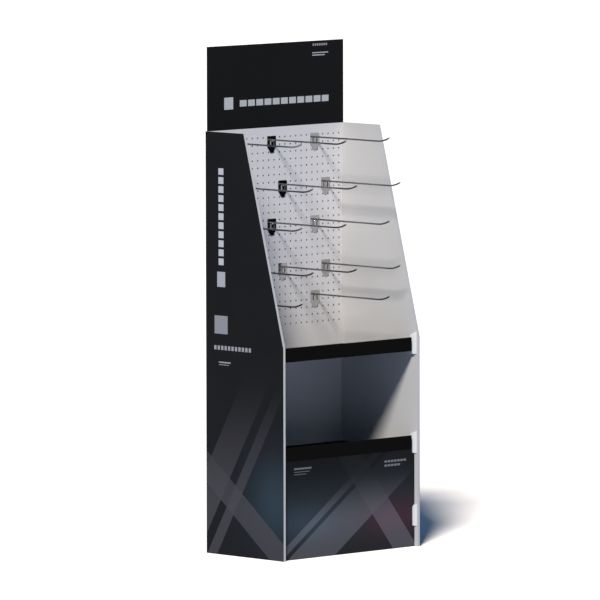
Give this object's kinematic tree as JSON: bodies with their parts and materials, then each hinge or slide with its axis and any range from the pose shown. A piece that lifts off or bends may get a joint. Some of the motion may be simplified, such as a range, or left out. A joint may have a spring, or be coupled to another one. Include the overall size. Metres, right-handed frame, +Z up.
{
  "type": "cardboard display stand",
  "caption": "Free-standing folded-card floor display with slanted side walls, flat header, perforated back with chrome hooks, two lipped trays and a closed front panel",
  "frame": {"origin": "centre of the stand's footprint, on the floor", "axes": "+X to the stand's right as seen from the front, +Y to its rear, +Z up"},
  "size_m": [0.63, 0.366, 1.674],
  "materials": {
    "case_board": "matt black print outside, white inside",
    "panel_board": "white, satin",
    "header_board": "matt black print",
    "tray_board": "matt black lip, white inside",
    "front_board": "matt black print",
    "tab_board": "white, satin",
    "plate_chrome": "bright chrome",
    "wire_chrome": "dark chrome"
  },
  "bodies": {
    "root": {"front_panel": "front_board", "header_card": "header_board", "hook_plate_row1_left": "plate_chrome", "hook_plate_row1_middle": "plate_chrome", "hook_plate_row1_right": "plate_chrome", "hook_plate_row2_left": "plate_chrome", "hook_plate_row2_middle": "plate_chrome", "hook_plate_row2_right": "plate_chrome", "hook_plate_row3_left": "plate_chrome", "hook_plate_row3_middle": "plate_chrome", "hook_plate_row3_right": "plate_chrome", "hook_plate_row4_left": "plate_chrome", "hook_plate_row4_middle": "plate_chrome", "hook_plate_row4_right": "plate_chrome", "hook_plate_row5_left": "plate_chrome", "hook_plate_row5_right": "plate_chrome", "hook_wire_row1_left": "wire_chrome", "hook_wire_row1_middle": "wire_chrome", "hook_wire_row1_right": "wire_chrome", "hook_wire_row2_left": "wire_chrome", "hook_wire_row2_middle": "wire_chrome", "hook_wire_row2_right": "wire_chrome", "hook_wire_row3_left": "wire_chrome", "hook_wire_row3_middle": "wire_chrome", "hook_wire_row3_right": "wire_chrome", "hook_wire_row4_left": "wire_chrome", "hook_wire_row4_middle": "wire_chrome", "hook_wire_row4_right": "wire_chrome", "hook_wire_row5_left": "wire_chrome", "hook_wire_row5_right": "wire_chrome", "lock_tab_left_foot": "tab_board", "lock_tab_left_lower": "tab_board", "lock_tab_left_upper": "tab_board", "lock_tab_right_foot": "tab_board", "lock_tab_right_lower": "tab_board", "lock_tab_right_upper": "tab_board", "lower_shelf": "tray_board", "outer_wrap": "case_board", "pegboard": "panel_board", "upper_shelf": "tray_board"}
  },
  "joints": []
}
